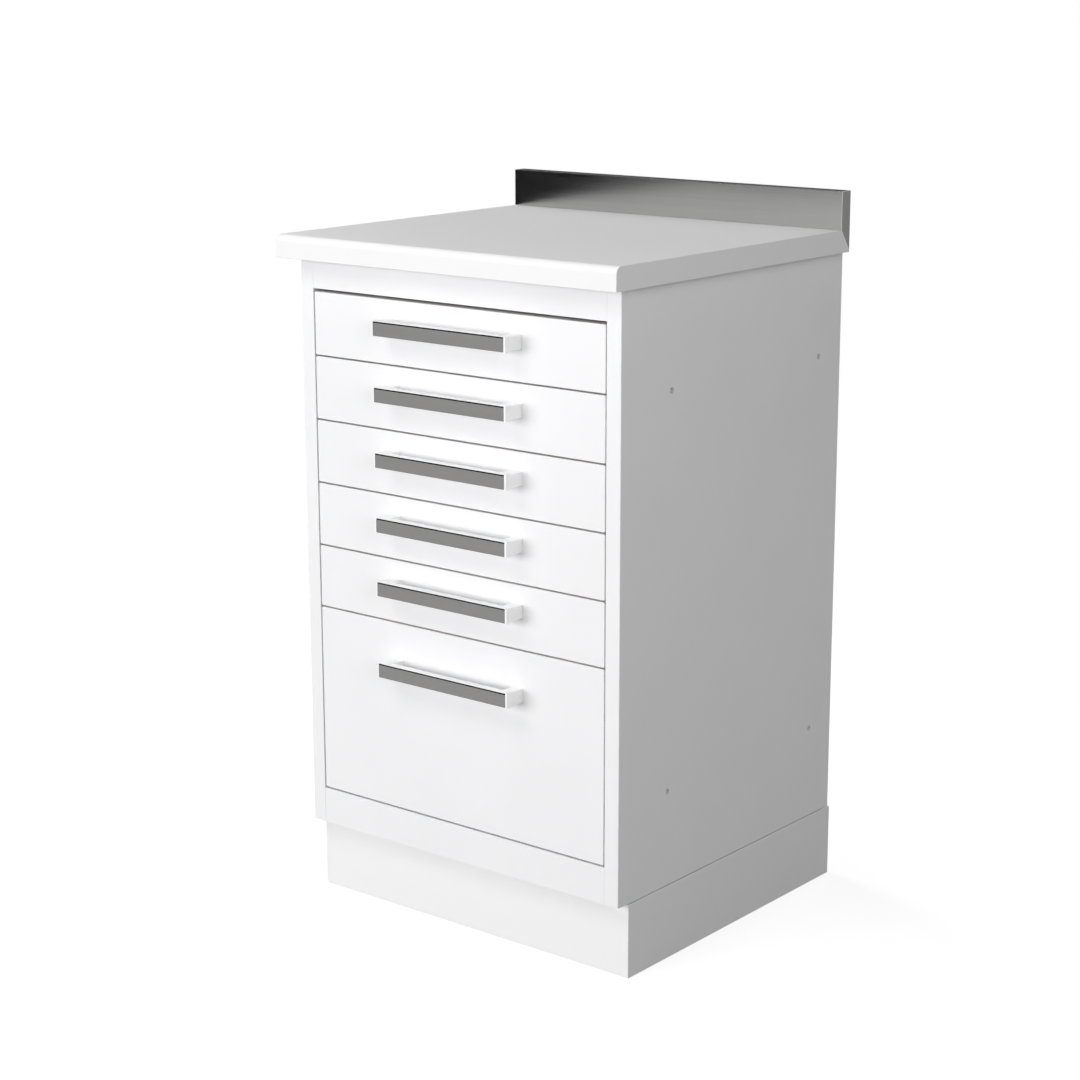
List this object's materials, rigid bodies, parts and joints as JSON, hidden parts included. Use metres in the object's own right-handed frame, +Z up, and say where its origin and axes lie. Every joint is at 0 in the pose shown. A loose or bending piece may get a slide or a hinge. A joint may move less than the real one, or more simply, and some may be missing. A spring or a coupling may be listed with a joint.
{
  "type": "dental drawer cabinet",
  "caption": "Floor-standing white steel drawer cabinet on a plinth, with a laminate worktop, a metal upstand, and shallow and deep drawers on telescopic slides.",
  "frame": {"origin": "on the floor, in the middle of the overall footprint (worktop, handles and plinth included)", "axes": "+Z up; the drawers open towards -Y; +X is to the right of somebody who faces the drawers"},
  "size_m": [0.528, 0.4976, 0.9135],
  "materials": {
    "body_paint": "satin white powder coat",
    "front_paint": "satin white powder coat",
    "tray_paint": "satin light grey-white powder coat",
    "worktop_laminate": "fine-grained white laminate",
    "upstand_metal": "satin metal",
    "plinth_laminate": "white laminate",
    "spacer_plastic": "black washers",
    "handle_white": "satin white moulding",
    "strip_metal": "satin grey metal",
    "slide_zinc": "bright zinc plating",
    "fastener_zinc": "zinc plating"
  },
  "bodies": {
    "body": {"side_skin_right": "body_paint", "side_skin_left": "body_paint", "side_liner_right": "body_paint", "side_liner_left": "body_paint", "back_panel": "body_paint", "base_pan": "body_paint", "top_rail": "body_paint", "bottom_rail": "body_paint", "rear_stretcher": "body_paint", "worktop": "worktop_laminate", "upstand": "upstand_metal", "plinth_front": "plinth_laminate", "plinth_right": "plinth_laminate", "plinth_rear": "plinth_laminate", "plinth_left": "plinth_laminate", "plinth_spacers": "spacer_plastic", "cabinet_slide_members": "slide_zinc", "body_fasteners": "fastener_zinc"},
    "drawer_1": {"drawer_front_1": "front_paint", "tray_1": "tray_paint", "handle_1": "handle_white", "handle_strip_1": "strip_metal", "drawer_slide_members_1": "slide_zinc", "drawer_fasteners_1": "fastener_zinc"},
    "middle_slides_1": {"middle_slide_members_1": "slide_zinc"},
    "drawer_2": {"drawer_front_2": "front_paint", "tray_2": "tray_paint", "handle_2": "handle_white", "handle_strip_2": "strip_metal", "drawer_slide_members_2": "slide_zinc", "drawer_fasteners_2": "fastener_zinc"},
    "middle_slides_2": {"middle_slide_members_2": "slide_zinc"},
    "drawer_3": {"drawer_front_3": "front_paint", "tray_3": "tray_paint", "handle_3": "handle_white", "handle_strip_3": "strip_metal", "drawer_slide_members_3": "slide_zinc", "drawer_fasteners_3": "fastener_zinc"},
    "middle_slides_3": {"middle_slide_members_3": "slide_zinc"},
    "drawer_4": {"drawer_front_4": "front_paint", "tray_4": "tray_paint", "handle_4": "handle_white", "handle_strip_4": "strip_metal", "drawer_slide_members_4": "slide_zinc", "drawer_fasteners_4": "fastener_zinc"},
    "middle_slides_4": {"middle_slide_members_4": "slide_zinc"},
    "drawer_5": {"drawer_front_5": "front_paint", "tray_5": "tray_paint", "handle_5": "handle_white", "handle_strip_5": "strip_metal", "drawer_slide_members_5": "slide_zinc", "drawer_fasteners_5": "fastener_zinc"},
    "middle_slides_5": {"middle_slide_members_5": "slide_zinc"},
    "drawer_6": {"drawer_front_6": "front_paint", "tray_6": "tray_paint", "handle_6": "handle_white", "handle_strip_6": "strip_metal", "drawer_slide_members_6": "slide_zinc", "drawer_fasteners_6": "fastener_zinc"},
    "middle_slides_6": {"middle_slide_members_6": "slide_zinc"}
  },
  "joints": [
    {"name": "drawer_1_slide", "type": "slide", "parent": "body", "child": "drawer_1", "axis": [0, -1, 0], "range_m": [0, 0.4]},
    {"name": "middle_1_slide", "type": "slide", "parent": "body", "child": "middle_slides_1", "axis": [0, -1, 0], "range_m": [0, 0.2]},
    {"name": "drawer_2_slide", "type": "slide", "parent": "body", "child": "drawer_2", "axis": [0, -1, 0], "range_m": [0, 0.4]},
    {"name": "middle_2_slide", "type": "slide", "parent": "body", "child": "middle_slides_2", "axis": [0, -1, 0], "range_m": [0, 0.2]},
    {"name": "drawer_3_slide", "type": "slide", "parent": "body", "child": "drawer_3", "axis": [0, -1, 0], "range_m": [0, 0.4]},
    {"name": "middle_3_slide", "type": "slide", "parent": "body", "child": "middle_slides_3", "axis": [0, -1, 0], "range_m": [0, 0.2]},
    {"name": "drawer_4_slide", "type": "slide", "parent": "body", "child": "drawer_4", "axis": [0, -1, 0], "range_m": [0, 0.4]},
    {"name": "middle_4_slide", "type": "slide", "parent": "body", "child": "middle_slides_4", "axis": [0, -1, 0], "range_m": [0, 0.2]},
    {"name": "drawer_5_slide", "type": "slide", "parent": "body", "child": "drawer_5", "axis": [0, -1, 0], "range_m": [0, 0.4]},
    {"name": "middle_5_slide", "type": "slide", "parent": "body", "child": "middle_slides_5", "axis": [0, -1, 0], "range_m": [0, 0.2]},
    {"name": "drawer_6_slide", "type": "slide", "parent": "body", "child": "drawer_6", "axis": [0, -1, 0], "range_m": [0, 0.4]},
    {"name": "middle_6_slide", "type": "slide", "parent": "body", "child": "middle_slides_6", "axis": [0, -1, 0], "range_m": [0, 0.2]}
  ],
  "couplings": [
    {"joint": "middle_1_slide", "follows": "drawer_1_slide", "ratio": 0.5},
    {"joint": "middle_2_slide", "follows": "drawer_2_slide", "ratio": 0.5},
    {"joint": "middle_3_slide", "follows": "drawer_3_slide", "ratio": 0.5},
    {"joint": "middle_4_slide", "follows": "drawer_4_slide", "ratio": 0.5},
    {"joint": "middle_5_slide", "follows": "drawer_5_slide", "ratio": 0.5},
    {"joint": "middle_6_slide", "follows": "drawer_6_slide", "ratio": 0.5}
  ]
}
